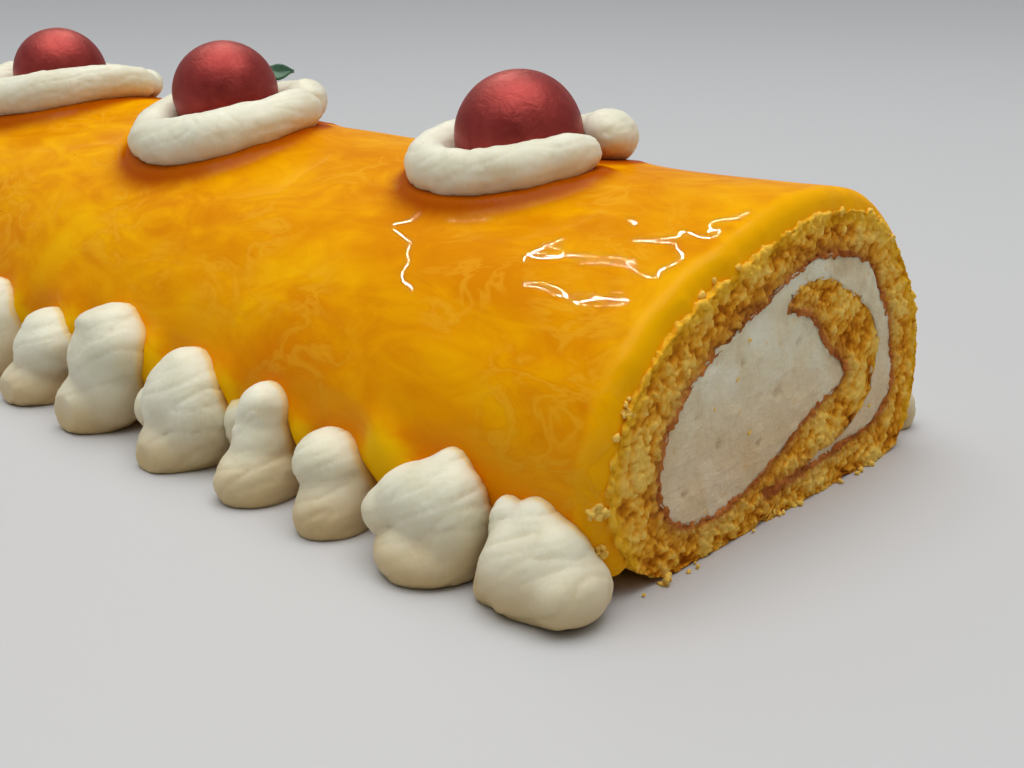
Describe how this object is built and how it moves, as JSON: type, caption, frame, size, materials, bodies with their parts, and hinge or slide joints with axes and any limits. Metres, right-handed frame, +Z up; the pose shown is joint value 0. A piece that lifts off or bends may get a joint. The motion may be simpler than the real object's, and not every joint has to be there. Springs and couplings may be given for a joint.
{
  "type": "custard roll cake",
  "caption": "Long rolled sponge cake with cream in its spiral, a glossy custard coat, chocolate balls in piped cream rings along the top and a row of cream dollops down each side.",
  "frame": {"origin": "on the flat underside that the cake rests on, halfway along the roll and under its middle", "axes": "+X along the roll towards the cut face that shows the spiral, -Y towards the front row of dollops, +Z up"},
  "size_m": [0.32, 0.1369, 0.0776],
  "materials": {
    "sponge": "dry open crumb, yellow, with a red-brown crust line on its inner face",
    "filling": "soft whipped cream with fine pits, slightly smeared by the knife",
    "custard": "wet glossy custard, clouded yellow to orange",
    "cream": "smooth piped cream, satin, with faint creases",
    "chocolate": "satin rose-red shell",
    "leaf": "soft green leaf"
  },
  "bodies": {
    "root": {"sponge_sheet": "sponge", "cream_filling": "filling", "custard_coat": "custard", "ball_1": "chocolate", "cream_ring_1": "cream", "ball_2": "chocolate", "cream_ring_2": "cream", "ball_3": "chocolate", "cream_ring_3": "cream", "leaf": "leaf", "dollop_front_1": "cream", "dollop_front_2": "cream", "dollop_front_3": "cream", "dollop_front_4": "cream", "dollop_front_5": "cream", "dollop_front_6": "cream", "dollop_front_7": "cream", "dollop_front_8": "cream", "dollop_front_9": "cream", "dollop_front_10": "cream", "dollop_front_11": "cream", "dollop_front_12": "cream", "dollop_front_13": "cream", "dollop_back_1": "cream", "dollop_back_2": "cream", "dollop_back_3": "cream", "dollop_back_4": "cream", "dollop_back_5": "cream", "dollop_back_6": "cream", "dollop_back_7": "cream", "dollop_back_8": "cream", "dollop_back_9": "cream", "dollop_back_10": "cream", "dollop_back_11": "cream", "dollop_back_12": "cream", "dollop_back_13": "cream"}
  },
  "joints": []
}
